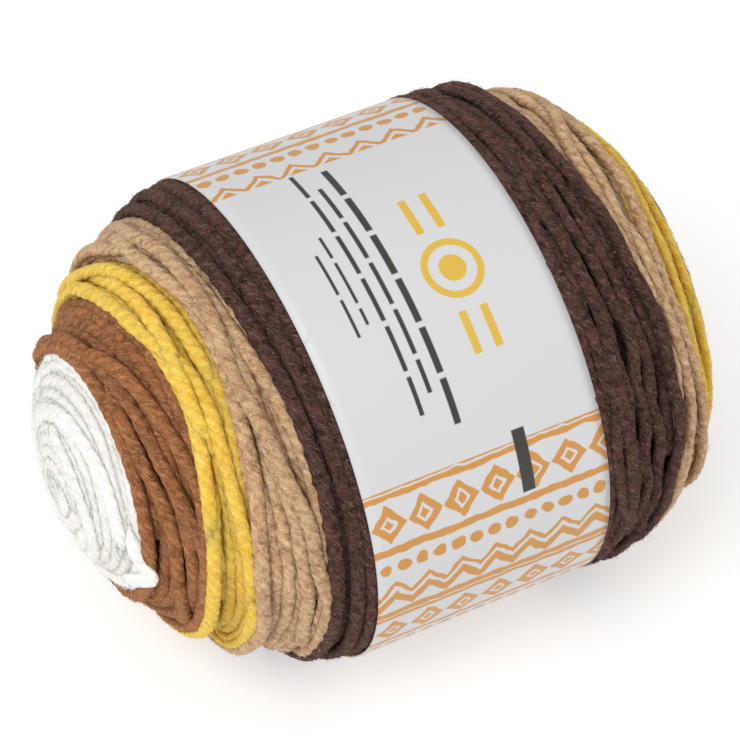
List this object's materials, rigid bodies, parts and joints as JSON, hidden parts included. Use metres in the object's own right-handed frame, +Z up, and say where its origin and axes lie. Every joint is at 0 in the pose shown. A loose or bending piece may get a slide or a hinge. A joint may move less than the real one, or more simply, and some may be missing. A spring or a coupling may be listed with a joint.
{
  "type": "yarn cake",
  "caption": "Wound cake of thick self-striping yarn lying on its side, with two domed ends, bands of colour from pale tip to dark middle, and a plain-shaped paper band round it.",
  "frame": {"origin": "on the table, under the middle of the cake's box", "axes": "+X along the cake's axis from its pale near end to its far end, +Z up, the cake lying on its side"},
  "size_m": [0.1134, 0.0874, 0.0869],
  "materials": {
    "yarn": "soft plied acrylic yarn, matt and a little hairy, dyed in long stretches of white, caramel, mustard, tan and dark brown",
    "band_paper": null
  },
  "bodies": {
    "root": {"wound_yarn": "yarn", "paper_band": "band_paper"}
  },
  "joints": []
}
